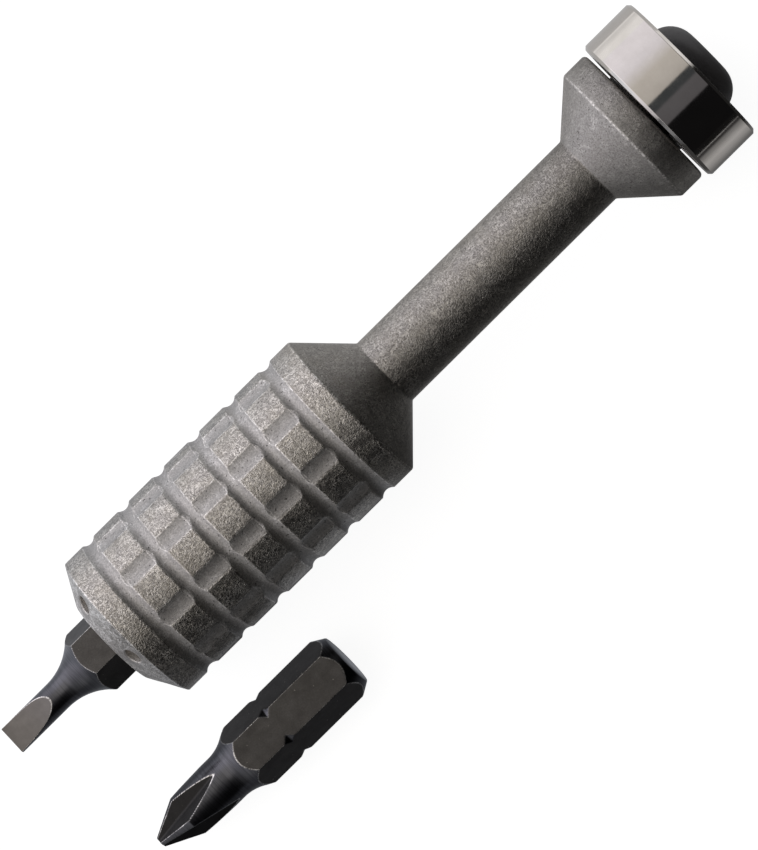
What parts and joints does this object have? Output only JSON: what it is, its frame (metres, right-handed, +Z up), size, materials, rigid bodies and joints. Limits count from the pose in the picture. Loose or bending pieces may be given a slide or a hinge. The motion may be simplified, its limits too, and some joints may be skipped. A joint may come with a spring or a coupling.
{
  "type": "bit screwdriver",
  "caption": "Pocket bit screwdriver with a fluted metal grip, slim neck, spinning bearing ring at the tail, a slotted bit in its socket and a loose cross bit beside it.",
  "frame": {"origin": "middle of the footprint of the driver and its spare bit, on the surface that they lie on", "axes": "+X along the driver from the blade to the tail ring, +Z up, spare bit on the -Y side"},
  "size_m": [0.0926, 0.0286, 0.017],
  "materials": {
    "titanium": "tumbled titanium, warm grey with fine bright scratches",
    "black_oxide": "black oxide tool steel, worn bright along its edges",
    "polished_steel": "polished bearing steel",
    "matte_black": "matte black coated steel",
    "pressed_steel": "pressed sheet steel",
    "plated_magnet": "nickel plated magnet"
  },
  "bodies": {
    "driver": {"grip_body": "titanium", "nose_cap": "titanium", "socket_magnet": "plated_magnet", "spacer_washer": "titanium", "axle_screw": "matte_black", "bearing_inner_race": "polished_steel"},
    "spin_ring": {"bearing_outer_race": "polished_steel", "bearing_shield_front": "pressed_steel", "bearing_shield_rear": "pressed_steel"},
    "ball_train": {"cage_half_front": "pressed_steel", "cage_half_rear": "pressed_steel", "cage_rivet_1": "pressed_steel", "cage_rivet_2": "pressed_steel", "cage_rivet_3": "pressed_steel", "cage_rivet_4": "pressed_steel", "cage_rivet_5": "pressed_steel", "cage_rivet_6": "pressed_steel", "bearing_ball_1": "polished_steel", "bearing_ball_2": "polished_steel", "bearing_ball_3": "polished_steel", "bearing_ball_4": "polished_steel", "bearing_ball_5": "polished_steel", "bearing_ball_6": "polished_steel"},
    "socket_bit": {"slotted_bit": "black_oxide"},
    "spare_bit": {"phillips_bit": "black_oxide"}
  },
  "joints": [
    {"name": "ring_spin", "type": "hinge", "parent": "driver", "child": "spin_ring", "pos_m": [0.04125, 0.00585, 0.00848], "axis": [1, 0, 0], "continuous": true},
    {"name": "ball_orbit", "type": "hinge", "parent": "driver", "child": "ball_train", "pos_m": [0.04125, 0.00585, 0.00848], "axis": [1, 0, 0], "continuous": true},
    {"name": "bit_pull", "type": "slide", "parent": "driver", "child": "socket_bit", "axis": [-1, 0, 0], "range_m": [0, 0.018]},
    {"name": "spare_bit_lift", "type": "slide", "parent": "driver", "child": "spare_bit", "axis": [0, 0, 1], "range_m": [0, 0.03]}
  ],
  "couplings": [
    {"joint": "ball_orbit", "follows": "ring_spin", "ratio": 0.6522}
  ]
}
